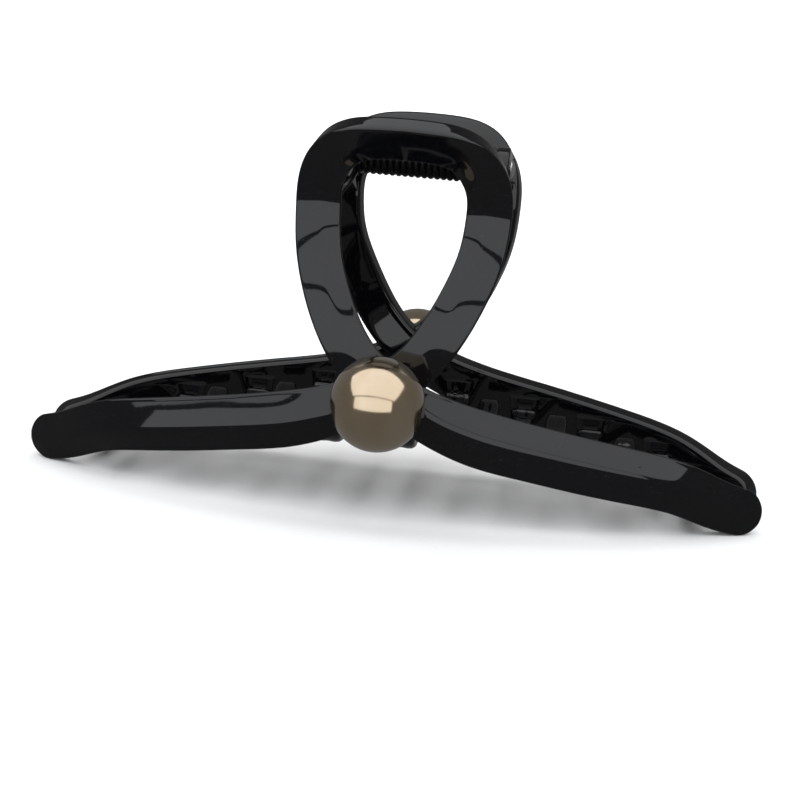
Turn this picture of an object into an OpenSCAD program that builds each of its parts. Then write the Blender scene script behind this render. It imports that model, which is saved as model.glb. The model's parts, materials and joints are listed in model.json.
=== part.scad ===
// Claw clip: two ribbon shaped jaws on one spring hinge, each with an imitation pearl at its crossing.
// X runs along the wings, Y from the front jaw to the rear jaw, Z up. The origin is under the middle, at the base.
// The rear jaw is the front jaw's moulding turned half a turn about Z.

/* [Overall] */
// Length from wing tip to wing tip
clip_length = 134; // [110:1:160]
// Outer width of the loop that the fingers press
loop_width = 37.3; // [32:0.1:46]
// Height of the middle of the top bar above the pearl's centre
bar_rise = 41.9; // [38:0.2:50]
// Drop of the wing tips below the pearl's centre
tip_drop = 16.9; // [14:0.2:21]
// Distance of a jaw's outer face from the middle plane, at the crossing
jaw_depth = 21.4; // [18:0.1:26]
// The same distance at the waist, where the limbs come closest
waist_depth = 14; // [13:0.1:18]
// The same distance at the middle of the top bar
bar_depth = 18.5; // [16:0.1:26]

/* [Ribbon] */
// Thickness of the ribbon
ribbon_t = 3.8; // [3:0.1:4.6]
// Width of the ribbon on the wings
wing_width = 9.8; // [7:0.1:11.5]
// Width of the ribbon on the loop's limbs
limb_width = 7.9; // [6:0.1:9]
// Width of the ribbon on the top bar
bar_width = 7.8; // [6:0.1:9]
// How far the top bar's face leans down, in degrees
bar_lean = 46; // [30:1:55]
// How far the lower strand dips behind the upper one where they cross
strand_dip = 1.5; // [0.6:0.1:2]

/* [Teeth] */
// Number of teeth on a jaw
tooth_count = 9; // [5:1:9]
// Distance between two teeth of one jaw
tooth_pitch = 13; // [11:0.1:14]
// Width of a tooth at its root
tooth_w = 5; // [3.5:0.1:5.6]
// Width of a tooth near its end
tooth_end_w = 3.6; // [2.5:0.1:4.4]
// Thickness of a tooth at its root
tooth_t = 3.2; // [2.4:0.1:3.8]
// Lowest point of the middle teeth below the pearl's centre
tooth_drop = 10.8; // [10:0.1:16]

/* [Hinge] */
// Diameter of the hinge pin
pin_d = 2; // [1.6:0.1:2.6]
// Radial clearance of the pin in the lugs
pin_clearance = 0.05; // [0.02:0.01:0.1]
// How far the hinge axis lies below the middle of the top bar
hinge_drop = 3.2; // [2:0.1:5]
// Outer diameter of a lug
lug_d = 7.6; // [6.4:0.1:8.4]
// Thickness of a lug
lug_t = 2.4; // [1.8:0.1:3]
// Side clearance between neighbours on the pin
side_gap = 0.2; // [0.15:0.05:0.4]

/* [Spring] */
// Diameter of the spring wire
wire_d = 1.1; // [0.8:0.05:1.2]
// Number of turns
turns = 19; // [12:1:20]
// Outer diameter of the coil
coil_d = 6; // [5:0.1:6.4]

/* [Pearl] */
// Diameter of the pearl
pearl_d = 16; // [12:0.5:18]
// How deep the pearl sits in the crossing
pearl_sink = 1.6; // [1:0.1:2]
// Diameter of the peg that holds the pearl
peg_d = 2.4; // [1.8:0.1:3]

/* [Hidden] */

plastic = "#17181a";
pearl_colour = "#d9c8ac";
steel = "#b9bcc0";
spring_colour = "#2a2b2d";

cap_width = 0.86 * wing_width;         // width of the wing at the centre of its round tip
cap_reach = 0.41 * cap_width;          // the round tip slants back and down, so it reaches less than its radius
tip_x = clip_length / 2 - cap_reach;
base = tip_drop + cap_width / 2;       // height of the pearl's centre above the base
hinge_rise = bar_rise - hinge_drop;
hinge_z = base + hinge_rise;
limb_x = (loop_width - limb_width) / 2;
pearl_depth = jaw_depth + pearl_d / 2 - pearl_sink;
tip_depth = 8.4;
wing_lean = 8;
ridge = 1.9;                           // height of a wing's ridge over its face's edges
tip_flat = 1.2;                        // how much lower the ridge is at the tip
steps = 4;                             // rings between two of the strand's points
cap_steps = 4;                         // rings round a wing's tip
edge = 0.8;                            // bevel along the ribbon's inner side
lap = 0.6;                             // how far a zone of a moulding runs into the next

// Points of a strand from a wing's tip, over the crossing, up the far limb and to the middle of the top bar.
// Each is [x, depth, rise, width, lean, crown]; crown is how far the face's edges lie behind its ridge.
wing_points = [
    // share of the wing's reach, of the depth from crossing to tip, of the tip's drop
    for (s = [[1, 1, 1], [0.94, 0.83, 0.93], [0.82, 0.52, 0.74], [0.67, 0.27, 0.61], [0.53, 0.12, 0.52],
              [0.39, 0.03, 0.43], [0.25, 0, 0.33]])
        [s[0] * tip_x, jaw_depth - s[1] * (jaw_depth - tip_depth), -s[2] * tip_drop,
         s[1] == 1 ? cap_width : wing_width - 1.2 * s[1], wing_lean, ridge - tip_flat * pow(s[1], 4)]
];
crossing_points = [
    [0.125 * tip_x, jaw_depth, -0.18 * tip_drop, 0.5 * (wing_width + limb_width), 5, 1.3],
    [0, jaw_depth, 1.2, limb_width + 0.2, 0, 0.7]
];
limb_points = [
    // share of the limb's distance from the middle, of the rise to the waist, of the way in to the waist
    for (s = [[0.37, 0.2, 0], [0.63, 0.39, 0.14], [0.83, 0.6, 0.44], [0.96, 0.81, 0.82], [1, 1, 1]])
        [-s[0] * limb_x, jaw_depth - s[2] * (jaw_depth - waist_depth), s[1] * 0.725 * bar_rise, limb_width, 0, 0.6]
];
bar_points = [
    // share of the limb's distance, of the rise from waist to bar, of the way out to the bar, of the lean
    for (s = [[0.99, 0.36, 0.1, 0.12], [0.89, 0.67, 0.46, 0.5], [0.67, 0.9, 0.8, 0.84],
              [0.35, 0.985, 0.96, 1], [0, 1, 1, 1]])
        [-s[0] * limb_x, waist_depth + s[2] * (bar_depth - waist_depth), (0.725 + 0.275 * s[1]) * bar_rise,
         limb_width + s[1] * (bar_width - limb_width), -s[3] * bar_lean, 0.6 - 0.35 * s[1]]
];
strand_points = concat(wing_points, crossing_points, limb_points, bar_points);

// A smooth curve through rows of numbers.
function between(a, b, c, d, t) =
    0.5 * (2 * b + (c - a) * t + (2 * a - 5 * b + 4 * c - d) * t * t + (3 * b - a - 3 * c + d) * t * t * t);
function row(list, i) =
    i < 0 ? 2 * list[0] - list[1] : i >= len(list) ? 2 * list[len(list) - 1] - list[len(list) - 2] : list[i];
function smooth(list, n) = concat(
    [for (i = [0:len(list) - 2]) for (k = [0:n - 1])
        between(row(list, i - 1), list[i], list[i + 1], row(list, i + 2), k / n)],
    [list[len(list) - 1]]);
function unit(v) = v / norm(v);
function place(r) = [r[0], -r[1], base + r[2]];
function face_normal(lean) = [0, -cos(lean), sin(lean)];

// The lower strand dips behind the upper one near the crossing.
function dip(x, amount) = abs(x) > 12 ? 0 : amount * (0.5 + 0.5 * cos(180 * x / 12));
function dipped(rows, amount) = [
    for (r = rows) r[2] > 14 ? r : [r[0], r[1] - dip(r[0], amount), r[2], r[3], r[4], r[5]]];

// One ring of the ribbon: t runs along the strand, n points out of its face.
function ring(p, t, lean, w, crown) =
    let (n0 = face_normal(lean), n = unit(n0 - (n0 * t) * t), across = cross(n, t), h = w / 2,
         side = min(edge, 0.7 * h), low = crown / 2)
    [for (q = [[-h, -crown], [-0.5 * h, -0.42 * crown], [-0.12 * h, 0], [0.5 * h, -0.4 * low], [h, -low],
               [h, edge - ribbon_t], [h - side, -ribbon_t], [side - h, -ribbon_t], [-h, edge - ribbon_t]])
        p + q[0] * across + q[1] * n];

function strand_rings(amount) =
    let (rows = dipped(smooth(strand_points, steps), amount), last = len(rows) - 1, p0 = place(rows[0]),
         t0 = unit(place(rows[1]) - p0), r0 = cap_width / 2)
    concat(
        [for (k = [cap_steps:-1:1]) let (a = 84 * k / cap_steps)
            ring(p0 - t0 * r0 * sin(a), t0, wing_lean, 2 * r0 * cos(a), rows[0][5] * cos(a))],
        [for (i = [0:last])
            let (t = i == 0 ? t0 : i == last ? [1, 0, 0] : unit(place(rows[i + 1]) - place(rows[i - 1])))
            ring(place(rows[i]), t, rows[i][4], rows[i][3], rows[i][5])]);

// Joins rings of points into one closed solid. Each ring runs clockwise, seen from the ring before it.
module swept(rings) {
    n = len(rings[0]);
    m = len(rings);
    polyhedron(
        points = [for (r = rings) each r],
        faces = concat(
            [[for (k = [n - 1:-1:0]) k]],
            [for (i = [0:m - 2]) for (k = [0:n - 1]) each [
                [i * n + k, (i + 1) * n + (k + 1) % n, (i + 1) * n + k],
                [i * n + k, i * n + (k + 1) % n, (i + 1) * n + (k + 1) % n]]],
            [[for (k = [0:n - 1]) (m - 1) * n + k]]));
}

// Where the wing is, at a distance x from the middle: [depth, rise] of its face.
wing_curve = smooth(concat(wing_points, [[0, jaw_depth, -0.28 * tip_drop, wing_width, wing_lean, ridge]]), steps);
function wing_at(x) =
    let (i = max([for (k = [0:len(wing_curve) - 2]) wing_curve[k][0] >= abs(x) ? k : 0]),
         a = wing_curve[i], b = wing_curve[i + 1], f = (a[0] - abs(x)) / (a[0] - b[0]))
    [a[1] + f * (b[1] - a[1]), a[2] + f * (b[2] - a[2])];

// Teeth stand a quarter of a pitch off the middle, so that the same jaw turned round meets the gaps.
tooth_x = [for (i = [0:tooth_count - 1]) (i - (tooth_count - 1) / 2 + 0.25) * tooth_pitch];
function inner_depth(x) = wing_at(x)[0] - ribbon_t;
function tooth_bottom(x) = min(tooth_drop + 0.0027 * x * x, tip_drop + 2.6);

// Points of a tooth's middle line as [depth, rise], from the wing's inner face across to under the other wing.
function tooth_line(x) =
    let (d = inner_depth(x), z = wing_at(x)[1], low = tooth_t / 2 - tooth_bottom(x), h = wing_width / 2)
    smooth([[d + lap, z + 0.3 * h], [d + 0.2, z - 0.45 * h], [0.86 * d, z + 0.5 * (low - z) - 0.3 * h],
            [0.46 * d, low + 0.3], [0, low], [-0.4 * d, low + 1.3], [-0.7 * d, low + 4]], 2);

module tooth(x) {
    line = [for (q = tooth_line(x)) [x, -q[0], base + q[1]]];
    last = len(line) - 1;
    function radius(i) = [
        tooth_w / 2 + (tooth_end_w - tooth_w) / 2 * i / last,
        tooth_t / 2 * (1 - 0.3 * i / last)] * (i == last ? 0.5 : 1);
    swept([for (i = [0:last])
        let (t = unit(line[min(i + 1, last)] - line[max(i - 1, 0)]), up = cross([1, 0, 0], t), r = radius(i))
        [for (a = [22.5:45:359]) line[i] + r[0] * cos(a) * [1, 0, 0] + r[1] * sin(a) * up]]);
}

// Rib that carries a tooth up the wing's inner face.
module tooth_rib(x) {
    d = inner_depth(x);
    z = base + wing_at(x)[1];
    hull() {
        translate([x - tooth_w / 2, -d - lap, z - 0.3 * wing_width])
            cube([tooth_w, lap, 0.55 * wing_width]);
        translate([x - tooth_w / 4, -d - lap, z - 0.25 * wing_width])
            cube([tooth_w / 2, lap + 0.7, 0.4 * wing_width]);
    }
}

module jaw_moulding() {
    difference() {
        union() {
            swept(strand_rings(0));
            mirror([1, 0, 0]) swept(strand_rings(strand_dip));
            for (x = tooth_x) tooth_rib(x);
        }
        translate([0, -pearl_depth, base]) sphere(d = pearl_d + 0.1, $fn = 48);
    }
}

module teeth() {
    for (x = tooth_x) tooth(x);
}

// Lugs: the outer one at the left and the inner one at the right, so that two equal jaws interleave.
coil_pitch = wire_d + 0.05;
coil_half = turns * coil_pitch / 2;
inner_lug = coil_half + wire_d / 2 + side_gap;
outer_lug = inner_lug + lug_t + side_gap;

lug_foot_low = [ribbon_t - waist_depth - lap, 0.725 * bar_rise - hinge_rise + 1];
lug_foot_high = [ribbon_t - waist_depth - 0.3 * (bar_depth - waist_depth) - lap, 1];

module lug(from) {
    translate([from, 0, hinge_z]) rotate([90, 0, 90])
        linear_extrude(lug_t) difference() {
            union() {
                circle(d = lug_d, $fn = 48);
                polygon([[0, -lug_d / 2], [lug_foot_low[0], lug_foot_low[1]], [lug_foot_high[0], lug_foot_high[1]],
                         [0, lug_d / 2]]);
            }
            circle(d = pin_d + 2 * pin_clearance, $fn = 48);
        }
}
module hinge_lugs() {
    lug(-outer_lug - lug_t);
    lug(inner_lug);
}

module pearl() {
    translate([0, -pearl_depth, base]) difference() {
        sphere(d = pearl_d, $fn = 96);
        rotate([-90, 0, 0]) cylinder(d = peg_d, h = pearl_d, $fn = 32);
    }
}

module pearl_peg() {
    translate([0, -pearl_depth, base]) rotate([-90, 0, 0])
        cylinder(d = peg_d, h = pearl_d / 2 + lap, $fn = 32);
}

head_t = 0.8;
module hinge_pin() {
    half = outer_lug + lug_t;
    color(steel) translate([-half - head_t, 0, hinge_z]) rotate([0, 90, 0]) {
        cylinder(d = pin_d, h = 2 * half + side_gap + 2 * head_t, $fn = 32);
        cylinder(d = 1.7 * pin_d, h = head_t, $fn = 32);
        translate([0, 0, 2 * half + side_gap + head_t]) cylinder(d = 1.7 * pin_d, h = head_t, $fn = 32);
    }
}

// The wire: a leg on the front jaw's limb, the turns, and the same leg turned round on the rear jaw's limb.
coil_r = (coil_d - wire_d) / 2;
turn_steps = 12;
leg_rest = waist_depth - ribbon_t - wire_d / 2 - 0.1;
front_leg = [
    [-inner_lug - 1.6, -leg_rest - 0.2, -12.5], [-inner_lug - 1.5, -leg_rest, -9.6],
    [-inner_lug - 0.8, -0.74 * leg_rest, -6.8], [-coil_half, -0.34 * leg_rest, -coil_r - 1.4]];
turned = [for (i = [len(front_leg) - 1:-1:0]) [-front_leg[i][0], -front_leg[i][1], front_leg[i][2]]];
helix = [
    for (i = [0:turns * turn_steps]) let (a = 360 * i / turn_steps)
        [i / turn_steps * coil_pitch - coil_half, coil_r * sin(a), -coil_r * cos(a)]];
module torsion_spring() {
    line = [for (p = concat(smooth(front_leg, 3), helix, smooth(turned, 3))) p + [0, 0, hinge_z]];
    last = len(line) - 1;
    color(spring_colour) swept([for (i = [0:last])
        let (t = unit(line[min(i + 1, last)] - line[max(i - 1, 0)]),
             out = unit(cross(t, abs(t[0]) > 0.7 ? [0, 1, 0] : [1, 0, 0])), up = cross(out, t))
        [for (a = [30:60:359]) line[i] + wire_d / 2 * (cos(a) * out + sin(a) * up)]]);
}

module front_jaw() { color(plastic) jaw_moulding(); }
module front_teeth() { color(plastic) teeth(); }
module front_hinge_lugs() { color(plastic) hinge_lugs(); }
module front_pearl_peg() { color(plastic) pearl_peg(); }
module front_pearl() { color(pearl_colour) pearl(); }
module rear_jaw() { color(plastic) rotate([0, 0, 180]) jaw_moulding(); }
module rear_teeth() { color(plastic) rotate([0, 0, 180]) teeth(); }
module rear_hinge_lugs() { color(plastic) rotate([0, 0, 180]) hinge_lugs(); }
module rear_pearl_peg() { color(plastic) rotate([0, 0, 180]) pearl_peg(); }
module rear_pearl() { color(pearl_colour) rotate([0, 0, 180]) pearl(); }

front_jaw();
front_teeth();
front_hinge_lugs();
front_pearl_peg();
front_pearl();
rear_jaw();
rear_teeth();
rear_hinge_lugs();
rear_pearl_peg();
rear_pearl();
hinge_pin();
torsion_spring();
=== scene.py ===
# %% [markdown]
# # A claw clip with a pearl
#
# A claw clip is two equal plastic jaws on one sprung hinge. Each jaw is a ribbon that runs out to two wings,
# crosses itself under a pearl and closes in a loop for the fingers. The sizes, the hinge and the motion come
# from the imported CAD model. This script loads that model as a fixed frame and makes the visible pieces round it:
# smooth mouldings, a wire spring, a riveted pin, two pearls, their finishes, and a small studio.
#
# Lengths are written in millimetres times `MM`, because Blender's unit here is the metre.

# %% Load the frame
import json
import math

import bmesh
import bpy
import numpy as np
from mathutils import Matrix, Quaternion, Vector


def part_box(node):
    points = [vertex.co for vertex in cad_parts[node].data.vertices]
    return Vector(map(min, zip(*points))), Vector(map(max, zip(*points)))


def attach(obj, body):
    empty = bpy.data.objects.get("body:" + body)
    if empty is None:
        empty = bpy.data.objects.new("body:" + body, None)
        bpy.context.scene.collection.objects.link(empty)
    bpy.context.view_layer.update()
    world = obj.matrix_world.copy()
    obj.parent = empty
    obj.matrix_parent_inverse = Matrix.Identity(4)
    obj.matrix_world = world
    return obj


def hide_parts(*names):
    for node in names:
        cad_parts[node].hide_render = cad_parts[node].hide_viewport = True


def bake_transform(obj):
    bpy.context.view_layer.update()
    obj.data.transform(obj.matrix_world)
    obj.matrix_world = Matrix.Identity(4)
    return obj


MM = 0.001
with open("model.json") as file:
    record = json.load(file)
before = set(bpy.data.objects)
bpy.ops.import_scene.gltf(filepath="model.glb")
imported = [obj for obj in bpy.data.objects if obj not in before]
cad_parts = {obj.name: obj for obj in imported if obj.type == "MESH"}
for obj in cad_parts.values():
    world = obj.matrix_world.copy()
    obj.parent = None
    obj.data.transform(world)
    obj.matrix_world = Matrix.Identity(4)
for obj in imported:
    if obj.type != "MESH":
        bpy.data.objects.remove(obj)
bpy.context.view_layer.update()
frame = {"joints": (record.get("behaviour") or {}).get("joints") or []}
hinge = Vector(frame["joints"][0]["pos_m"])
pearl_low, pearl_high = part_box("front_pearl")
pearl_radius = (pearl_high.z - pearl_low.z) / 2
pearl_centre = Vector((0, pearl_low.y + pearl_radius, pearl_low.z + pearl_radius))
base = pearl_centre.z
print("hinge height", round(hinge.z, 4), "pearl centre", [round(c, 4) for c in pearl_centre])

# %% [markdown]
# ## The camera
#
# A lens of about 70 mm from 0.3 m away gives the clip a little perspective, so the front jaw looks
# larger than the rear one. The camera stands a little to the right and above, and leans a few degrees, so the clip
# hangs to the right. An aim point with angles is easier to reason about than a bare location and rotation.

# %% Camera
camera_azimuth = math.radians(6.5)
camera_height = math.radians(12.1)
camera_roll = math.radians(4.6)
camera_distance = 294 * MM
camera_aim = Vector((0.55 * MM, 0, base - 4.84 * MM))


def direction(azimuth, height):
    """Unit vector from the clip towards a place at that azimuth and height; azimuth 0 is the front."""
    return Vector((math.sin(azimuth) * math.cos(height), -math.cos(azimuth) * math.cos(height), math.sin(height)))


def make_camera():
    data = bpy.data.cameras.new("camera")
    data.lens = 72.1
    data.sensor_width = 36
    data.clip_start = 0.01
    data.clip_end = 10
    camera = bpy.data.objects.new("camera", data)
    back = direction(camera_azimuth, camera_height)
    camera.location = camera_aim + back * camera_distance
    camera.rotation_mode = "QUATERNION"
    camera.rotation_quaternion = (-back).to_track_quat("-Z", "Y") @ Quaternion((0, 0, 1), camera_roll)
    bpy.context.scene.collection.objects.link(camera)
    bpy.context.scene.camera = camera


make_camera()

# %% [markdown]
# ## Small helpers
#
# `add` makes one node and fills its sockets, either with a value or with a link.


# %% Helpers
def add(tree, kind, inputs=None, **settings):
    """One node, with its settings and its inputs. An input that is a socket becomes a link."""
    made = tree.nodes.new(kind)
    for name, value in settings.items():
        setattr(made, name, value)
    for name, value in (inputs or {}).items():
        if isinstance(value, bpy.types.NodeSocket):
            tree.links.new(value, made.inputs[name])
        else:
            made.inputs[name].default_value = value
    return made


def new_object(name, mesh):
    made = bpy.data.objects.new(name, mesh)
    bpy.context.scene.collection.objects.link(made)
    return made


def polyline_object(name, lines, attributes=()):
    """A mesh of open polylines. attributes are (name, type, values), one value for each point."""
    mesh = bpy.data.meshes.new(name)
    points = [tuple(p) for line in lines for p in line]
    edges, first = [], 0
    for line in lines:
        edges += [(first + i, first + i + 1) for i in range(len(line) - 1)]
        first += len(line)
    mesh.from_pydata(points, edges, [])
    for label, kind, values in attributes:
        layer = mesh.attributes.new(label, kind, "POINT")
        key = "vector" if kind == "FLOAT_VECTOR" else "value"
        layer.data.foreach_set(key, np.array(values, np.float32).ravel())
    return new_object(name, mesh)


def as_mesh(source, name):
    """The evaluated object as a plain mesh object; the source is removed."""
    bpy.context.view_layer.update()
    evaluated = source.evaluated_get(bpy.context.evaluated_depsgraph_get())
    mesh = bpy.data.meshes.new_from_object(evaluated)
    bpy.data.objects.remove(source)
    mesh.name = name
    return new_object(name, mesh)


def set_inputs(obj, tree, values):
    """Adds the tree as a modifier and sets its inputs by the sockets' identifiers."""
    modifier = obj.modifiers.new(tree.name, "NODES")
    modifier.node_group = tree
    for item in tree.interface.items_tree:
        if item.item_type == "SOCKET" and item.in_out == "INPUT" and item.name in values:
            modifier[item.identifier] = values[item.name]
    return obj


def recalculate_normals(obj):
    made = bmesh.new()
    made.from_mesh(obj.data)
    bmesh.ops.remove_doubles(made, verts=made.verts, dist=1e-6)
    bmesh.ops.recalc_face_normals(made, faces=made.faces)
    made.to_mesh(obj.data)
    made.free()
    return obj


# %% [markdown]
# ## The ribbon's route
#
# On the real clip a jaw is one moulding whose ribbon never ends: from the tip of a wing it climbs to the
# crossing, runs up a limb, over the top bar, down the other limb and back over the crossing to the other wing.
# A route with a few stations is enough. Each station says where the middle of the ribbon's face is, how wide it is,
# how far it leans and how high its ridge stands. A natural cubic spline joins the stations, because a glossy surface
# shows any jump in curvature as a kink in its reflections, and a Catmull-Rom curve has such jumps.

# %% Stations of the route
JAW_DEPTH = 21.4
WAIST_DEPTH = 14
BAR_DEPTH = 18.5
TIP_DEPTH = 8.4
TIP_DROP = 16.9
BAR_RISE = 41.9
WAIST_RISE = 0.725 * BAR_RISE
LOOP_WIDTH = 37.3
WING_WIDTH = 9.8
LIMB_WIDTH = 7.9
BAR_WIDTH = 7.8
BAR_LEAN = 46
WING_LEAN = 8
RIDGE = 1.9
TIP_FLAT = 1.2
LIMB_CROWN = 0.6
THICKNESS = 3.8
STRAND_DIP = 1.5
CAP_WIDTH = 0.86 * WING_WIDTH
CAP_REACH = 0.41 * CAP_WIDTH
TIP_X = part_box("front_jaw")[1].x / MM - CAP_REACH
LIMB_X = (LOOP_WIDTH - LIMB_WIDTH) / 2

# share of the wing's reach, of the way in to the tip, of the tip's drop
WING_SHARES = [(1, 1, 1), (0.94, 0.83, 0.93), (0.82, 0.52, 0.74), (0.67, 0.27, 0.61), (0.53, 0.12, 0.52),
               (0.39, 0.03, 0.43), (0.25, 0, 0.33)]
# share of the limb's distance from the middle, of the rise to the waist, of the way in to the waist
LIMB_SHARES = [(0.37, 0.2, 0), (0.63, 0.39, 0.14), (0.83, 0.6, 0.44), (0.96, 0.81, 0.82), (1, 1, 1)]
# share of the limb's distance, of the rise from waist to bar, of the way out to the bar, of the lean
BAR_SHARES = [(0.99, 0.36, 0.1, 0.12), (0.89, 0.67, 0.46, 0.5), (0.67, 0.9, 0.8, 0.84), (0.35, 0.985, 0.96, 1),
              (0, 1, 1, 1)]


def half_route():
    """Stations [x, depth, rise, width, lean, crown] from the right wing's tip to the middle of the top bar."""
    rows = []
    for reach, inward, drop in WING_SHARES:
        width = CAP_WIDTH if inward == 1 else WING_WIDTH - 1.2 * inward
        rows.append([reach * TIP_X, JAW_DEPTH - inward * (JAW_DEPTH - TIP_DEPTH), -drop * TIP_DROP, width,
                     WING_LEAN, RIDGE - TIP_FLAT * inward**4])
    rows.append([0.125 * TIP_X, JAW_DEPTH, -0.18 * TIP_DROP, (WING_WIDTH + LIMB_WIDTH) / 2, 5, 1.3])
    rows.append([0, JAW_DEPTH, 1.2, LIMB_WIDTH + 0.2, 0, 0.7])
    for out, rise, inward in LIMB_SHARES:
        rows.append([-out * LIMB_X, JAW_DEPTH - inward * (JAW_DEPTH - WAIST_DEPTH), rise * WAIST_RISE,
                     LIMB_WIDTH, 0, LIMB_CROWN])
    for out, rise, outward, lean in BAR_SHARES:
        rows.append([-out * LIMB_X, WAIST_DEPTH + outward * (BAR_DEPTH - WAIST_DEPTH),
                     WAIST_RISE + rise * (BAR_RISE - WAIST_RISE), LIMB_WIDTH + rise * (BAR_WIDTH - LIMB_WIDTH),
                     -lean * BAR_LEAN, LIMB_CROWN - 0.35 * rise])
    return rows


# %% Spline and frames
def natural_spline(rows, steps):
    """Points on a natural cubic spline through rows of numbers, spaced by the distance between the stations."""
    rows = np.array(rows, float)
    gaps = np.linalg.norm(np.diff(rows[:, :3], axis=0), axis=1)
    knots = np.concatenate([[0], np.cumsum(gaps)])
    count = len(rows)
    matrix, right = np.eye(count), np.zeros_like(rows)
    for i in range(1, count - 1):
        before, after = gaps[i - 1], gaps[i]
        matrix[i, i - 1:i + 2] = before, 2 * (before + after), after
        right[i] = 6 * ((rows[i + 1] - rows[i]) / after - (rows[i] - rows[i - 1]) / before)
    bend = np.linalg.solve(matrix, right)
    places = np.concatenate([np.linspace(knots[i], knots[i + 1], steps, endpoint=False) for i in range(count - 1)])
    places = np.append(places, knots[-1])
    found = []
    for place in places:
        i = min(np.searchsorted(knots, place, "right") - 1, count - 2)
        gap, a, b = gaps[i], knots[i + 1] - place, place - knots[i]
        found.append((bend[i] * a**3 + bend[i + 1] * b**3) / (6 * gap)
                     + (rows[i] / gap - bend[i] * gap / 6) * a + (rows[i + 1] / gap - bend[i + 1] * gap / 6) * b)
    return np.array(found)


def unit(vectors):
    return vectors / np.linalg.norm(vectors, axis=-1, keepdims=True)


def dip(rows, amount):
    """The lower strand runs behind the upper one near the crossing."""
    rows = np.array(rows, float)
    near = (np.abs(rows[:, 0]) < 12) & (rows[:, 2] < 14)
    rows[near, 1] -= amount * (0.5 + 0.5 * np.cos(math.pi * rows[near, 0] / 12))
    return rows


def route_with_caps(rows, cap_at_end):
    """Rows of the route in space, with a round cap before the first station and, if asked, after the last one.
    Returns places, tangents, leans and [half width, crown, end rounding]."""
    places = np.column_stack([rows[:, 0], -rows[:, 1], rows[:, 2]])
    tangents = unit(np.gradient(places, axis=0))
    shape = np.column_stack([rows[:, 3] / 2, rows[:, 5], np.zeros(len(rows))])
    leans = rows[:, 4]
    angles = np.radians([6, 14, 22, 30, 38, 46, 54, 61, 67, 73, 78, 82, 85.5, 88.5])
    soft = 0.5

    def cap(i, sign):
        radius = shape[i, 0]
        left = radius * (1 - np.sin(angles))
        inset = soft - np.sqrt(np.maximum(0, soft**2 - (soft - np.minimum(left, soft)) ** 2))
        where = places[i] + sign * tangents[i] * (radius * np.sin(angles))[:, None]
        look = np.column_stack([radius * np.cos(angles), shape[i, 1] * np.cos(angles), inset])
        return where, np.repeat(tangents[i][None], len(angles), 0), np.repeat(leans[i], len(angles)), look

    start = cap(0, -1)
    parts = [[p[::-1] for p in start], [places, tangents, leans, shape]]
    if cap_at_end:
        parts.append(list(cap(len(rows) - 1, 1)))
    return [np.concatenate([p[k] for p in parts]) for k in range(4)]


def frames(tangents, leans):
    """Across and facing vectors of the ribbon at each row."""
    leans = np.radians(leans)
    facing = np.column_stack([np.zeros_like(leans), -np.cos(leans), np.sin(leans)])
    facing = unit(facing - (facing * tangents).sum(1)[:, None] * tangents)
    return np.cross(facing, tangents), facing


STEPS = 9
half = natural_spline(half_route(), STEPS)
mirrored = half[::-1][1:] * np.array([-1, 1, 1, 1, 1, 1])
crossing_row = int(np.argmin(np.abs(half[:len(half) // 2, 0])))
# the upper strand with the whole loop, ending under itself; and the other wing, which is the lower strand
upper = np.concatenate([half, dip(mirrored, STRAND_DIP)[: len(mirrored) - crossing_row + 2]])
lower = dip(half, STRAND_DIP)[: crossing_row + 3] * np.array([-1, 1, 1, 1, 1, 1])
print("rows in the strands", len(upper), len(lower))

# %% [markdown]
# ## The ribbon's section
#
# Cut across, the ribbon has a low ridge, an upper facet that looks up at the light, a lower facet, crisp but rounded
# edges, side walls with a little draft so that the part leaves its mould, and a flat back. Each point of the section
# is a recipe: a share of the half width plus an offset, and a share of the crown plus a depth. So one list of points
# fits every width along the route.

# %% Section
EDGE_ROUND = 0.42
BACK_ROUND = 0.8
DRAFT = 0.35
RIDGE_AT = -0.12


def ridge_fall(share):
    """How far the face has fallen from its ridge, as a share of the crown, at a share of the half width."""
    above = share < RIDGE_AT
    run = (RIDGE_AT - share) / (1 + RIDGE_AT) if above else (share - RIDGE_AT) / (1 - RIDGE_AT)
    soft = 0.16 if above else 0.5
    fall = (math.hypot(run, soft) - soft) / (math.hypot(1, soft) - soft)
    return fall if above else 0.5 * fall


def section_points():
    """Points [share, offset, crown share, depth, end weight] round the section, starting at the upper rim."""
    points = []
    for k in range(25):
        share = -1 + k / 12
        points.append([share, -share * EDGE_ROUND, ridge_fall(share), 0, 1])
    for side in (1, -1):
        fall = ridge_fall(side)
        corner = [[side, side * EDGE_ROUND * (math.sin(a) - 1), fall, EDGE_ROUND * (1 - math.cos(a)), 1]
                  for a in np.radians([18, 36, 54, 72, 90])]
        wall_top, wall_end = EDGE_ROUND, THICKNESS - BACK_ROUND
        wall = [[side, -side * DRAFT * m, fall * (1 - m), wall_top + m * (wall_end - wall_top), 1 - 2 * m]
                for m in (0.33, 0.66, 1)]
        back = [[side, -side * (DRAFT + BACK_ROUND * (1 - math.cos(a))), 0,
                 THICKNESS - BACK_ROUND * (1 - math.sin(a)), -1] for a in np.radians([22, 45, 68, 90])]
        if side == 1:
            points += corner + wall + back
            points += [[s, -s * (DRAFT + BACK_ROUND), 0, THICKNESS, -1] for s in (0.66, 0.33, 0, -0.33, -0.66)]
        else:
            points += (corner + wall + back)[::-1]
    return np.array(points)


def make_section():
    points = section_points()
    places = [(p[0], p[1] * MM, 0) for p in points]
    depth = [(p[2], p[3] * MM, p[4]) for p in points]
    return polyline_object("ribbon_section", [places], [("depth", "FLOAT_VECTOR", depth)])


section = make_section()
section.hide_render = True
print("points in the section", len(section.data.vertices))

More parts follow.
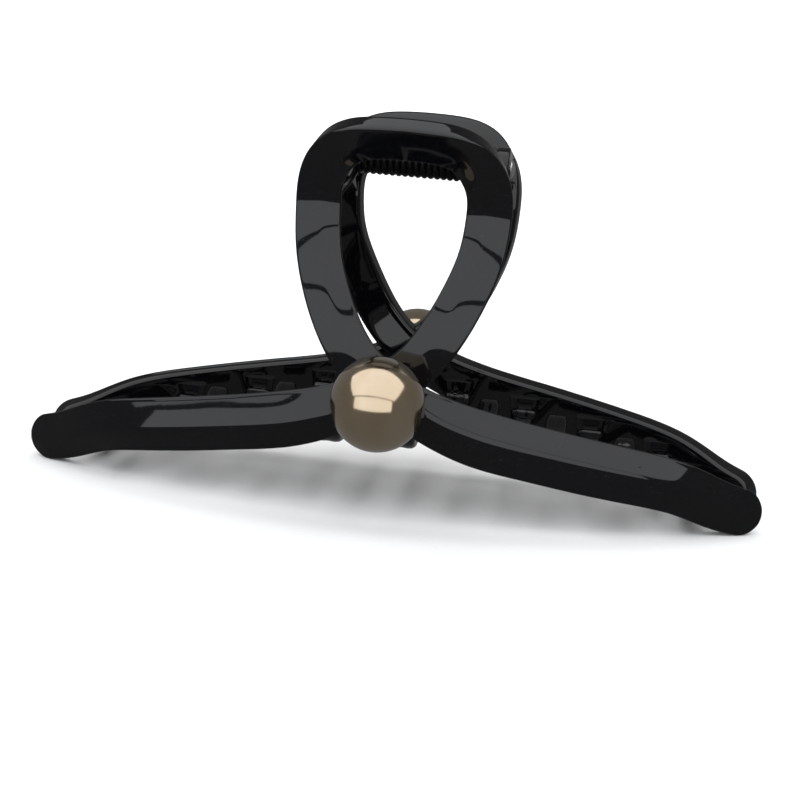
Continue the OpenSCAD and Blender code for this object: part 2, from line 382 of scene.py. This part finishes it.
# %% [markdown]
# ## Lofting the ribbon with Geometry Nodes
#
# The ribbon follows a path, so a node tree lofts it. The tree makes a flat grid with one row of points for each row
# of the route, one column for each point of the section, and a row more at each end. Every grid point looks up its
# row and its column with Sample Index and moves to its place. The two end rows shrink to a point, which closes the
# ends, and Merge by Distance closes the seam. A Curve to Mesh node can't do this, because the ribbon's width and its
# ridge change separately along the route.


# %% The loft tree
def sampled(tree, geometry, kind, value, index):
    return add(tree, "GeometryNodeSampleIndex", {"Geometry": geometry, "Value": value, "Index": index},
               data_type=kind, domain="POINT").outputs["Value"]


def attribute(tree, name, kind="FLOAT_VECTOR"):
    return add(tree, "GeometryNodeInputNamedAttribute", {"Name": name}, data_type=kind).outputs["Attribute"]


def number(tree, operation, a, b=0.0):
    return add(tree, "ShaderNodeMath", {0: a, 1: b}, operation=operation).outputs[0]


def scaled(tree, vector, factor):
    return add(tree, "ShaderNodeVectorMath", {0: vector, "Scale": factor}, operation="SCALE").outputs[0]


def summed(tree, a, b):
    return add(tree, "ShaderNodeVectorMath", {0: a, 1: b}, operation="ADD").outputs[0]


def count_of(tree, geometry):
    size = add(tree, "GeometryNodeAttributeDomainSize", {"Geometry": geometry}, component="MESH")
    return size.outputs["Point Count"]


def loft_tree():
    tree = bpy.data.node_groups.new("loft along a route", "GeometryNodeTree")
    tree.interface.new_socket("Route", in_out="INPUT", socket_type="NodeSocketGeometry")
    tree.interface.new_socket("Section", in_out="INPUT", socket_type="NodeSocketObject")
    tree.interface.new_socket("Full width from", in_out="INPUT", socket_type="NodeSocketFloat")
    tree.interface.new_socket("Thickness", in_out="INPUT", socket_type="NodeSocketFloat")
    tree.interface.new_socket("Finish", in_out="INPUT", socket_type="NodeSocketMaterial")
    tree.interface.new_socket("Ribbon", in_out="OUTPUT", socket_type="NodeSocketGeometry")
    given = tree.nodes.new("NodeGroupInput").outputs
    outline = add(tree, "GeometryNodeObjectInfo", {"Object": given["Section"]}).outputs["Geometry"]
    rows, columns = count_of(tree, given["Route"]), count_of(tree, outline)
    grid = add(tree, "GeometryNodeMeshGrid",
               {"Size X": 1.0, "Size Y": 1.0, "Vertices X": number(tree, "ADD", rows, 2.0),
                "Vertices Y": number(tree, "ADD", columns, 1.0)}).outputs["Mesh"]
    index = tree.nodes.new("GeometryNodeInputIndex").outputs[0]
    stride = number(tree, "ADD", columns, 1.0)
    grid_row = number(tree, "FLOOR", number(tree, "DIVIDE", number(tree, "ADD", index, 0.5), stride))
    past = number(tree, "SUBTRACT", index, number(tree, "MULTIPLY", grid_row, stride))
    column = number(tree, "MODULO", past, columns)
    last = number(tree, "SUBTRACT", rows, 1.0)
    row = number(tree, "MINIMUM", number(tree, "MAXIMUM", number(tree, "SUBTRACT", grid_row, 1.0), 0.0), last)
    inside = number(tree, "MULTIPLY", number(tree, "GREATER_THAN", grid_row, 0.5),
                    number(tree, "LESS_THAN", grid_row, number(tree, "ADD", rows, 0.5)))

    position = tree.nodes.new("GeometryNodeInputPosition").outputs[0]
    place = sampled(tree, given["Route"], "FLOAT_VECTOR", position, row)
    across = sampled(tree, given["Route"], "FLOAT_VECTOR", attribute(tree, "across"), row)
    facing = sampled(tree, given["Route"], "FLOAT_VECTOR", attribute(tree, "facing"), row)
    shape = sampled(tree, given["Route"], "FLOAT_VECTOR", attribute(tree, "shape"), row)
    half_width, crown, rounding = add(tree, "ShaderNodeSeparateXYZ", {0: shape}).outputs
    spot = sampled(tree, outline, "FLOAT_VECTOR", position, column)
    share, offset, _ = add(tree, "ShaderNodeSeparateXYZ", {0: spot}).outputs
    depths = sampled(tree, outline, "FLOAT_VECTOR", attribute(tree, "depth"), column)
    crown_share, depth, end_weight = add(tree, "ShaderNodeSeparateXYZ", {0: depths}).outputs

    narrow = number(tree, "MINIMUM", number(tree, "DIVIDE", half_width, given["Full width from"]), 1.0)
    sideways = number(tree, "ADD", number(tree, "MULTIPLY", share, half_width),
                      number(tree, "MULTIPLY", offset, narrow))
    deep = number(tree, "ADD", depth, number(tree, "ADD", number(tree, "MULTIPLY", crown_share, crown),
                                             number(tree, "MULTIPLY", end_weight, rounding)))
    middle = number(tree, "MULTIPLY", given["Thickness"], 0.5)
    deep = number(tree, "ADD", middle, number(tree, "MULTIPLY", inside, number(tree, "SUBTRACT", deep, middle)))
    sideways = number(tree, "MULTIPLY", sideways, inside)
    spread = summed(tree, scaled(tree, across, sideways), scaled(tree, facing, number(tree, "MULTIPLY", deep, -1.0)))
    placed = add(tree, "GeometryNodeSetPosition", {"Geometry": grid, "Position": summed(tree, place, spread)})
    closed = add(tree, "GeometryNodeMergeByDistance", {"Geometry": placed.outputs[0], "Distance": 0.002 * MM})
    smooth = add(tree, "GeometryNodeSetShadeSmooth", {"Geometry": closed.outputs[0]})
    real = add(tree, "GeometryNodeRealizeInstances", {"Geometry": smooth.outputs[0]})
    done = add(tree, "GeometryNodeSetMaterial", {"Geometry": real.outputs[0], "Material": given["Finish"]})
    tree.links.new(done.outputs[0], tree.nodes.new("NodeGroupOutput").inputs[0])
    return tree


loft = loft_tree()

# %% Loft a jaw's ribbon
GLOSS = bpy.data.materials.new("black jaw plastic")
PEARL = bpy.data.materials.new("champagne pearl")
PIN = bpy.data.materials.new("brushed steel pin")
WIRE = bpy.data.materials.new("black spring wire")


def make_strand(name, rows, cap_at_end):
    places, tangents, leans, shape = route_with_caps(rows, cap_at_end)
    across, facing = frames(tangents, leans)
    places = (places + [0, 0, base / MM]) * MM
    route = polyline_object(name, [places], [("across", "FLOAT_VECTOR", across), ("facing", "FLOAT_VECTOR", facing),
                                             ("shape", "FLOAT_VECTOR", shape * [MM, MM, MM])])
    set_inputs(route, loft, {"Section": section, "Full width from": LIMB_WIDTH / 4 * MM,
                             "Thickness": THICKNESS * MM, "Finish": GLOSS})
    return recalculate_normals(as_mesh(route, name))


strands = [make_strand("upper_strand", upper, False), make_strand("lower_strand", lower, False)]
print("faces in the ribbon", sum(len(s.data.polygons) for s in strands))

# %% [markdown]
# ## Teeth
#
# Nine curved teeth stand on the inner side of each wing pair. On the real clip they are part of the moulding: a rib
# runs up the wing's inner face, and the tooth leaves it in a soft curve, crosses under the hair and ends in a rounded
# tip near the other wing. They repeat, so one node tree sweeps a rounded section along all the lines at once. The line
# of each tooth follows the wing's own depth and height at that place, and a `size` on each point thins it to its tip.


# %% The bar tree
def bar_tree():
    tree = bpy.data.node_groups.new("bars along lines", "GeometryNodeTree")
    tree.interface.new_socket("Lines", in_out="INPUT", socket_type="NodeSocketGeometry")
    for name in ("Width", "Height", "Squareness"):
        tree.interface.new_socket(name, in_out="INPUT", socket_type="NodeSocketFloat")
    tree.interface.new_socket("Sides", in_out="INPUT", socket_type="NodeSocketInt")
    tree.interface.new_socket("Finish", in_out="INPUT", socket_type="NodeSocketMaterial")
    tree.interface.new_socket("Bars", in_out="OUTPUT", socket_type="NodeSocketGeometry")
    given = tree.nodes.new("NodeGroupInput").outputs
    lines = add(tree, "GeometryNodeMeshToCurve", {"Mesh": given["Lines"]}).outputs[0]
    lines = add(tree, "GeometryNodeSetCurveNormal", {"Curve": lines}, mode="MINIMUM_TWIST").outputs[0]
    circle = add(tree, "GeometryNodeCurvePrimitiveCircle", {"Resolution": given["Sides"], "Radius": 1.0})
    spot = tree.nodes.new("GeometryNodeInputPosition").outputs[0]
    x, y, _ = add(tree, "ShaderNodeSeparateXYZ", {0: spot}).outputs
    # a superellipse: the corners of the section fill out as Squareness grows from 0
    corner_share = number(tree, "MULTIPLY", number(tree, "MULTIPLY", x, x), number(tree, "MULTIPLY", y, y))
    filled = number(tree, "MULTIPLY", given["Squareness"], number(tree, "MULTIPLY", corner_share, 4.0))
    grow = number(tree, "ADD", 1.0, filled)
    wide = number(tree, "MULTIPLY", number(tree, "MULTIPLY", x, grow), number(tree, "MULTIPLY", given["Width"], 0.5))
    high = number(tree, "MULTIPLY", number(tree, "MULTIPLY", y, grow), number(tree, "MULTIPLY", given["Height"], 0.5))
    corner = add(tree, "ShaderNodeCombineXYZ", {0: wide, 1: high})
    profile = add(tree, "GeometryNodeSetPosition", {"Geometry": circle.outputs[0], "Position": corner.outputs[0]})
    swept = add(tree, "GeometryNodeCurveToMesh", {"Curve": lines, "Profile Curve": profile.outputs[0],
                                                  "Scale": attribute(tree, "size", "FLOAT"), "Fill Caps": True})
    smooth = add(tree, "GeometryNodeSetShadeSmooth", {"Geometry": swept.outputs[0]})
    real = add(tree, "GeometryNodeRealizeInstances", {"Geometry": smooth.outputs[0]})
    done = add(tree, "GeometryNodeSetMaterial", {"Geometry": real.outputs[0], "Material": given["Finish"]})
    tree.links.new(done.outputs[0], tree.nodes.new("NodeGroupOutput").inputs[0])
    return tree


bars = bar_tree()


def make_bars(name, lines, sizes, width, height, squareness, sides, finish):
    source = polyline_object(name, lines, [("size", "FLOAT", [s for line in sizes for s in line])])
    set_inputs(source, bars, {"Width": width, "Height": height, "Squareness": squareness, "Sides": sides,
                              "Finish": finish})
    return recalculate_normals(as_mesh(source, name))


# %% Lines of the teeth
TOOTH_COUNT, TOOTH_PITCH = 9, 13
TOOTH_WIDTH, TOOTH_END_WIDTH, TOOTH_THICKNESS, TOOTH_DROP = 5, 3.6, 3.2, 10.8


# the wing alone, carried on to the middle under the crossing
middle_row = [0, JAW_DEPTH, -0.28 * TIP_DROP, WING_WIDTH, WING_LEAN, RIDGE]
wing = natural_spline(half_route()[: len(WING_SHARES)] + [middle_row], STEPS)[::-1]


def wing_at(x):
    """Depth and rise of the wing's face at a distance from the middle."""
    return np.interp(abs(x), wing[:, 0], wing[:, 1]), np.interp(abs(x), wing[:, 0], wing[:, 2])


def tooth_stations(x):
    depth, rise = wing_at(x)
    inner = depth - THICKNESS
    low = TOOTH_THICKNESS / 2 - min(TOOTH_DROP + 0.0027 * x * x, TIP_DROP + 2.6)
    h = WING_WIDTH / 2
    return [[inner + 0.6, rise + 0.3 * h], [inner + 0.2, rise - 0.45 * h],
            [0.86 * inner, rise + 0.5 * (low - rise) - 0.3 * h], [0.46 * inner, low + 0.3], [0, low],
            [-0.4 * inner, low + 1.3], [-0.7 * inner, low + 4]]


def tooth_line(x):
    """Points and sizes of one tooth. The last points draw in to a round tip."""
    rows = np.array([[x, -d, base / MM + z] for d, z in tooth_stations(x)])
    rows = natural_spline(rows, 6)
    size = np.linspace(1, TOOTH_END_WIDTH / TOOTH_WIDTH, len(rows))
    # the root flares into the wing, as a moulded tooth does
    size[:8] += 0.12 * np.linspace(1, 0, 8) ** 2
    inward = unit(rows[-1] - rows[-2])
    radius = TOOTH_END_WIDTH / 2 * 0.7
    angles = np.radians([20, 38, 54, 68, 79, 87])
    tip = rows[-1] - inward * radius + inward * radius * np.sin(angles)[:, None]
    keep = np.linalg.norm(rows - rows[-1], axis=1) > radius
    return np.concatenate([rows[keep], tip]) * MM, np.concatenate([size[keep], size[-1] * np.cos(angles)])


tooth_x = [(i - (TOOTH_COUNT - 1) / 2 + 0.25) * TOOTH_PITCH for i in range(TOOTH_COUNT)]
teeth_lines = [tooth_line(x) for x in tooth_x]
teeth = make_bars("teeth", [t[0] for t in teeth_lines], [t[1] for t in teeth_lines], TOOTH_WIDTH * MM,
                  TOOTH_THICKNESS * MM, 0.3, 28, GLOSS)

# %% [markdown]
# ## Hinge lugs
#
# Each jaw has an inner lug and an outer lug, so two equal jaws interleave on one pin when one is turned half a turn.
# A lug is a flat plate with a bore, and its edges are rounded by the mould. A stack of rings makes it: rings of the
# outer outline and rings of the bore, each with as many points, joined into one closed skin. The same helper turns
# the pin's profile later.


# %% Rings into a closed skin
def skin(name, rings, closed, finish):
    """Quads between rings of equal length. closed joins the last ring to the first; otherwise both ends get caps."""
    rings = np.array(rings)
    count, around = rings.shape[:2]
    faces = []
    for i in range(count if closed else count - 1):
        for k in range(around):
            a, b = i * around, (i + 1) % count * around
            faces.append((a + k, a + (k + 1) % around, b + (k + 1) % around, b + k))
    if not closed:
        faces += [tuple(range(around)), tuple(range((count - 1) * around, count * around))]
    mesh = bpy.data.meshes.new(name)
    mesh.from_pydata([tuple(p) for p in rings.reshape(-1, 3)], [], faces)
    made = recalculate_normals(new_object(name, mesh))
    made.data.materials.append(finish)
    for polygon in made.data.polygons:
        polygon.use_smooth = True
    return made


# %% Lugs
WIRE_D, TURNS, COIL_D = 1.1, 19, 6
COIL_PITCH = WIRE_D + 0.05
COIL_HALF = TURNS * COIL_PITCH / 2
LUG_D, LUG_T, SIDE_GAP = 7.6, 2.4, 0.2
PIN_D, PIN_CLEARANCE = 2, 0.05
INNER_LUG = COIL_HALF + WIRE_D / 2 + SIDE_GAP
OUTER_LUG = INNER_LUG + LUG_T + SIDE_GAP
HINGE_RISE = (hinge.z - base) / MM


def lug_outline():
    """Distance from the hinge axis to the lug's outline, for a round of angles in the plane of Y and Z."""
    high_foot = (THICKNESS - WAIST_DEPTH - 0.3 * (BAR_DEPTH - WAIST_DEPTH) - 0.6, 1)
    low_foot = (THICKNESS - WAIST_DEPTH - 0.6, WAIST_RISE - HINGE_RISE + 1)
    corners = [(0, LUG_D / 2), high_foot, low_foot, (0, -LUG_D / 2)]
    angles = np.sort(np.append(np.linspace(0, 2 * math.pi, 120, endpoint=False),
                               [math.atan2(c[1], c[0]) % (2 * math.pi) for c in corners]))
    reach = []
    for a in angles:
        best, u = LUG_D / 2, (math.cos(a), math.sin(a))
        for p, q in zip(corners, corners[1:]):
            edge = (q[0] - p[0], q[1] - p[1])
            cross = u[0] * edge[1] - u[1] * edge[0]
            if abs(cross) > 1e-9:
                along = (p[0] * edge[1] - p[1] * edge[0]) / cross
                share = (p[0] * u[1] - p[1] * u[0]) / cross
                if along > 0 and -1e-6 <= share <= 1 + 1e-6:
                    best = max(best, along)
        reach.append(best)
    return angles, np.array(reach)


def make_lug(name, start):
    angles, reach = lug_outline()
    bore = PIN_D / 2 + PIN_CLEARANCE
    soft, lead = 0.4, 0.2

    def ring(radius, x):
        return np.column_stack([np.full(len(angles), x), radius * np.cos(angles), HINGE_RISE + base / MM
                                + radius * np.sin(angles)]) * MM

    rings = []
    for side, place in ((1, start), (-1, start + LUG_T)):
        turn = [ring(reach - soft * (1 - math.sin(a)), place + side * soft * (1 - math.cos(a)))
                for a in np.radians([0, 22, 45, 68, 90])]
        face = [ring(np.full(len(angles), bore), place + side * lead),
                ring(np.full(len(angles), bore + lead), place)]
        rings += face + turn if side == 1 else (face + turn)[::-1]
    return skin(name, rings, True, GLOSS)


lugs = [make_lug("outer_lug", -OUTER_LUG - LUG_T), make_lug("inner_lug", INNER_LUG)]

# %% [markdown]
# ## One moulding a jaw
#
# The ribbon, the teeth and the lugs leave the mould as one piece, so they join into one mesh here. It stands for three
# nodes of the CAD jaw and for the peg under the pearl. The rear jaw comes out of the same mould, and it is the same
# mesh turned half a turn about Z.


# %% Join and turn
def join(name, pieces):
    made = bmesh.new()
    for piece in pieces:
        made.from_mesh(piece.data)
        bpy.data.objects.remove(piece)
    mesh = bpy.data.meshes.new(name)
    made.to_mesh(mesh)
    made.free()
    mesh.materials.append(GLOSS)
    return new_object(name, mesh)


def turned(piece, name):
    mesh = piece.data.copy()
    mesh.name = name
    mesh.transform(Matrix.Rotation(math.pi, 4, "Z"))
    return new_object(name, mesh)


def declare(piece, body, nodes):
    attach(piece, body)
    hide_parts(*nodes)


front_moulding = join("front_moulding", strands + [teeth] + lugs)
front_moulding.data.set_sharp_from_angle(angle=math.radians(40))
rear_moulding = turned(front_moulding, "rear_moulding")
for body, piece in (("front", front_moulding), ("rear", rear_moulding)):
    zones = [body + part for part in ("_jaw", "_teeth", "_hinge_lugs", "_pearl_peg")]
    declare(piece, body + "_jaw", zones)
print("faces in a moulding", len(front_moulding.data.polygons))

# %% [markdown]
# ## Pearls
#
# An imitation pearl is a glass or plastic bead under several dipped coats. It is half drilled and glued onto the peg.
# A sphere of revolution with fine steps stays round in a close view; a subdivided icosahedron would do as well. The
# skin runs into the drilled hole with a small round lip, where the coats of nacre lap over the edge.

# %% Pearls
PEG_D = 2.4


def make_pearl():
    lip, hole, deep = 0.25, PEG_D / 2 + 0.02, 5
    radius = pearl_radius / MM
    stop = math.asin((hole + lip) / radius)
    profile = [(math.cos(a) * radius, math.sin(a) * radius) for a in np.linspace(math.radians(178), stop, 110)]
    edge = radius * math.cos(stop)
    profile += [(edge - lip * (1 - math.cos(a)) - 0.02, hole + lip * (1 - math.sin(a)))
                for a in np.radians([30, 60, 90])]
    profile.append((edge - deep, hole))
    rounds = np.linspace(0, 2 * math.pi, 128, endpoint=False)
    rings = [[(math.sin(a) * r * MM, pearl_centre.y + along * MM, base + math.cos(a) * r * MM) for a in rounds]
             for along, r in profile]
    return skin("front_bead", rings, False, PEARL)


front_bead = make_pearl()
rear_bead = turned(front_bead, "rear_bead")
declare(front_bead, "front_jaw", ["front_pearl"])
declare(rear_bead, "rear_jaw", ["rear_pearl"])

# %% [markdown]
# ## The pin
#
# A steel pin runs through the four lugs and the coil, and both of its ends are headed over. It is turned from a
# profile: distance along the axis against radius.

# %% Pin
HEAD_T, HEAD_R = 0.8, 1.7


def make_pin():
    half_length = OUTER_LUG + LUG_T
    left, right = -half_length, half_length + SIDE_GAP
    dome = [(HEAD_T * math.sin(a), HEAD_R * math.cos(a)) for a in np.radians([89, 75, 60, 45, 30, 18, 8])]
    profile = [(left - d, r) for d, r in dome]
    profile += [(left - 0.06, HEAD_R), (left, HEAD_R - 0.06), (left, PIN_D / 2 + 0.02)]
    profile += [(x, PIN_D / 2) for x in np.linspace(left + 0.05, right - 0.05, 40)]
    profile += [(right, PIN_D / 2 + 0.02), (right, HEAD_R - 0.06), (right + 0.06, HEAD_R)]
    profile += [(right + d, r) for d, r in dome[::-1]]
    rounds = np.linspace(0, 2 * math.pi, 48, endpoint=False)
    rings = [[(x * MM, r * math.cos(a) * MM, hinge.z + r * math.sin(a) * MM) for a in rounds] for x, r in profile]
    return skin("riveted_pin", rings, False, PIN)


pin = make_pin()
pin.data.set_sharp_from_angle(angle=math.radians(50))
declare(pin, "front_jaw", ["hinge_pin"])

# %% [markdown]
# ## The spring
#
# A torsion spring of 19 close turns sits on the pin between the inner lugs. One leg presses on the front jaw's left
# limb, and the other on the rear jaw's right limb. The wire is one line, so the bar tree that made the teeth sweeps
# it too, with a round section.

# %% Spring
COIL_R = (COIL_D - WIRE_D) / 2
LEG_REST = WAIST_DEPTH - THICKNESS - WIRE_D / 2 - 0.1
front_leg = [[-INNER_LUG - 1.6, -LEG_REST - 0.2, -12.5], [-INNER_LUG - 1.5, -LEG_REST, -9.6],
             [-INNER_LUG - 0.8, -0.74 * LEG_REST, -6.8], [-COIL_HALF, -0.34 * LEG_REST, -COIL_R - 1.4]]


def spring_line():
    turns = np.arange(0, TURNS + 1e-6, 1 / 36)
    angle = 2 * math.pi * turns
    helix = np.column_stack([turns * COIL_PITCH - COIL_HALF, COIL_R * np.sin(angle), -COIL_R * np.cos(angle)])
    leg = natural_spline(front_leg + helix[4:7:2].tolist(), 10)[:-10]
    rear = leg[::-1] * [-1, -1, 1]
    return (np.concatenate([leg, helix[5:-5], rear]) + [0, 0, HINGE_RISE + base / MM]) * MM


line = spring_line()
spring = make_bars("torsion_wire", [line], [np.ones(len(line))], WIRE_D * MM, WIRE_D * MM, 0.0, 14, WIRE)
print("faces in the spring", len(spring.data.polygons))
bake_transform(spring)
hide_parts("torsion_spring")
bpy.data.objects.remove(section)

# %% [markdown]
# ## Black jaw plastic
#
# The jaws are polished, black, injection-moulded plastic. Nearly all of what shows is reflection, so the base is
# almost black, and the interest is in the reflection: a slow waviness where the plastic shrank, the finest polishing
# marks, and a few specks of dust. Object coordinates hold the pattern to the piece.


# %% Plastic
def shader(material):
    material.use_nodes = True
    tree = material.node_tree
    tree.nodes.clear()
    output = tree.nodes.new("ShaderNodeOutputMaterial")
    principled = tree.nodes.new("ShaderNodeBsdfPrincipled")
    tree.links.new(principled.outputs[0], output.inputs[0])
    return tree, principled


def place_of(tree, scale=(1, 1, 1)):
    """Object coordinates in millimetres, stretched by scale."""
    spot = add(tree, "ShaderNodeTexCoord").outputs["Object"]
    return add(tree, "ShaderNodeVectorMath", {0: spot, 1: tuple(s / MM for s in scale)},
               operation="MULTIPLY").outputs[0]


def noise(tree, spot, scale, detail=2.0, rough=0.5):
    return add(tree, "ShaderNodeTexNoise",
               {"Vector": spot, "Scale": scale, "Detail": detail, "Roughness": rough}).outputs[0]


def ramp(tree, value, low, high, to_low, to_high):
    return add(tree, "ShaderNodeMapRange", {0: value, 1: low, 2: high, 3: to_low, 4: to_high},
               interpolation_type="SMOOTHSTEP").outputs[0]


def bumped(tree, height, strength, distance, normal=None):
    given = {"Height": height, "Strength": strength, "Distance": distance}
    if normal is not None:
        given["Normal"] = normal
    return add(tree, "ShaderNodeBump", given).outputs[0]


def finish_plastic():
    tree, principled = shader(GLOSS)
    spot = place_of(tree)
    waves = noise(tree, spot, 0.11, 1.0)
    ripple = noise(tree, spot, 0.55, 2.0)
    scratches = noise(tree, place_of(tree, (0.5, 6, 9)), 1.3, 3.0, 0.7)
    dust = ramp(tree, noise(tree, spot, 5.5, 0.0), 0.80, 0.84, 0.0, 1.0)
    tree.links.new(ramp(tree, scratches, 0.35, 0.8, 0.03, 0.09), principled.inputs["Roughness"])
    normal = bumped(tree, waves, 0.4, 0.12 * MM)
    normal = bumped(tree, ripple, 0.25, 0.01 * MM, normal)
    normal = bumped(tree, dust, 0.4, 0.02 * MM, normal)
    tree.links.new(normal, principled.inputs["Normal"])
    tone = add(tree, "ShaderNodeMix", {0: dust, 6: (0.0018, 0.0020, 0.0026, 1), 7: (0.03, 0.029, 0.027, 1)},
               data_type="RGBA").outputs[2]
    tree.links.new(tone, principled.inputs["Base Color"])
    principled.inputs["IOR"].default_value = 1.45


finish_plastic()

# %% [markdown]
# ## Pearl nacre
#
# A pearl's colour lies under clear coats. The body is champagne, with a painted shade that turns it browner where the
# surface turns away from the camera. It reflects softly, as metal does, and a sharp clear coat lies over it. Fine
# growth bands and a slow mottle keep it from looking like paint.


# %% Pearl
def finish_pearl():
    tree, principled = shader(PEARL)
    spot = place_of(tree)
    mottle = noise(tree, spot, 0.22, 3.0)
    bands = noise(tree, place_of(tree, (0.4, 0.4, 2.4)), 0.5, 4.0, 0.6)
    grain = noise(tree, spot, 9.0, 2.0)
    body = add(tree, "ShaderNodeMix", {0: ramp(tree, mottle, 0.3, 0.7, 0.0, 1.0), 6: (0.41, 0.31, 0.19, 1),
                                       7: (0.46, 0.36, 0.24, 1)}, data_type="RGBA").outputs[2]
    # painted shade: the colour turns darker brown where the surface turns away from the camera
    facing = add(tree, "ShaderNodeLayerWeight", {"Blend": 0.5}).outputs["Facing"]
    edge = ramp(tree, facing, 0.45, 1.0, 0.0, 0.5)
    rim_shaded_colour = add(tree, "ShaderNodeMix", {0: edge, 6: body, 7: (0.27, 0.175, 0.10, 1)}, data_type="RGBA").outputs[2]
    tree.links.new(rim_shaded_colour, principled.inputs["Base Color"])
    principled.inputs["Metallic"].default_value = 0.97
    tree.links.new(ramp(tree, bands, 0.3, 0.7, 0.10, 0.17), principled.inputs["Roughness"])
    tree.links.new(bumped(tree, add(tree, "ShaderNodeMath", {0: bands, 1: grain}, operation="ADD").outputs[0], 0.1,
                          0.01 * MM), principled.inputs["Normal"])
    principled.inputs["Coat Weight"].default_value = 1.0
    principled.inputs["Coat Roughness"].default_value = 0.03
    principled.inputs["Coat IOR"].default_value = 1.8


finish_pearl()

# %% [markdown]
# ## Steel and spring wire
#
# The pin is drawn steel with fine marks along its length. The spring wire is blackened, and it has drawing marks too,
# with a little bare metal where the coating has worn thin.


# %% Metals
def finish_metals():
    tree, principled = shader(PIN)
    marks = noise(tree, place_of(tree, (0.5, 8, 8)), 1.5, 3.0, 0.7)
    tree.links.new(ramp(tree, marks, 0.3, 0.7, 0.22, 0.42), principled.inputs["Roughness"])
    tree.links.new(add(tree, "ShaderNodeMix", {0: marks, 6: (0.42, 0.42, 0.43, 1), 7: (0.62, 0.62, 0.63, 1)},
                       data_type="RGBA").outputs[2], principled.inputs["Base Color"])
    tree.links.new(bumped(tree, marks, 0.2, 0.02 * MM), principled.inputs["Normal"])
    principled.inputs["Metallic"].default_value = 1.0

    tree, principled = shader(WIRE)
    wear = ramp(tree, noise(tree, place_of(tree), 1.1, 4.0, 0.65), 0.56, 0.74, 0.0, 0.5)
    tree.links.new(add(tree, "ShaderNodeMix", {0: wear, 6: (0.012, 0.012, 0.013, 1), 7: (0.12, 0.115, 0.11, 1)},
                       data_type="RGBA").outputs[2], principled.inputs["Base Color"])
    tree.links.new(ramp(tree, wear, 0.0, 0.5, 0.24, 0.4), principled.inputs["Roughness"])
    tree.links.new(bumped(tree, noise(tree, place_of(tree), 4.0, 3.0), 0.3, 0.01 * MM), principled.inputs["Normal"])
    principled.inputs["Metallic"].default_value = 0.8


finish_metals()

# %% [markdown]
# ## The studio
#
# A pale floor runs up into a pale wall in one sweep. Gloss black shows only what it reflects, so two large soft boxes
# do most of the work. The high one draws the grey on the wings' upper facets, and the low one draws it on the limbs.
# The narrow gap between them draws the thin dark lines across the facets. What looks down or back stays nearly black,
# because the floor is left out of the reflections and the world is dim.


# %% Floor and sweep
def make_floor():
    width, front, back, bend, height = 3.0, -0.5, 0.55, 0.35, 1.6
    profile = [(front, 0.0), (back, 0.0)]
    profile += [(back + bend * math.sin(a), bend * (1 - math.cos(a))) for a in np.radians(np.linspace(5, 90, 18))]
    profile.append((back + bend, height))
    points, faces = [], []
    for y, z in profile:
        points += [(-width, y, z), (width, y, z)]
    for i in range(len(profile) - 1):
        faces.append((2 * i, 2 * i + 1, 2 * i + 3, 2 * i + 2))
    mesh = bpy.data.meshes.new("sweep")
    mesh.from_pydata(points, [], faces)
    made = new_object("sweep", mesh)
    for polygon in mesh.polygons:
        polygon.use_smooth = True
    paper = bpy.data.materials.new("pale paper")
    tree, principled = shader(paper)
    fibre = noise(tree, place_of(tree), 0.8, 4.0)
    tree.links.new(add(tree, "ShaderNodeMix", {0: fibre, 6: (0.82, 0.82, 0.82, 1), 7: (0.86, 0.86, 0.86, 1)},
                       data_type="RGBA").outputs[2], principled.inputs["Base Color"])
    principled.inputs["Roughness"].default_value = 0.9
    principled.inputs["Specular IOR Level"].default_value = 0.1
    mesh.materials.append(paper)
    # black cards round a gloss product keep the table out of its reflections; this does the same
    made.visible_glossy = False


make_floor()


# %% Lights
def soft_light(name, centre, azimuth, height, distance, width, depth, strength, colour=(1, 1, 1)):
    """An area light that looks at centre. strength is its radiance. Returns its object."""
    data = bpy.data.lights.new(name, "AREA")
    data.shape = "RECTANGLE"
    data.size, data.size_y = width, depth
    data.energy = strength * math.pi * width * depth
    data.color = colour
    light = bpy.data.objects.new(name, data)
    way = direction(math.radians(azimuth), math.radians(height))
    light.location = Vector(centre) + way * distance
    light.rotation_mode = "QUATERNION"
    light.rotation_quaternion = (-way).to_track_quat("-Z", "Y")
    bpy.context.scene.collection.objects.link(light)
    return light


COOL_WHITE = (0.965, 0.98, 1.0)
soft_light("high soft box", (0, 0, base), -4, 67, 0.72, 2.1, 1.1, 1.6, COOL_WHITE)
soft_light("low soft box", (0, 0, base), -4, 10.5, 0.8, 1.6, 0.47, 1.6, COOL_WHITE)
backdrop_light = soft_light("backdrop light", (0, 0.75, 0.05), 0, 62, 0.65, 2.4, 0.5, 3.0)
backdrop_light.visible_glossy = False

world = bpy.data.worlds.new("studio")
world.use_nodes = True
background = world.node_tree.nodes["Background"]
background.inputs["Color"].default_value = (1, 1, 1, 1)
# dim for everything it lights, and pale where it is looked at past the paper
direct = add(world.node_tree, "ShaderNodeLightPath").outputs["Is Camera Ray"]
world.node_tree.links.new(add(world.node_tree, "ShaderNodeMapRange", {0: direct, 3: 0.18, 4: 0.95}).outputs[0],
                          background.inputs["Strength"])
bpy.context.scene.world = world
bpy.context.scene.view_settings.view_transform = "Standard"
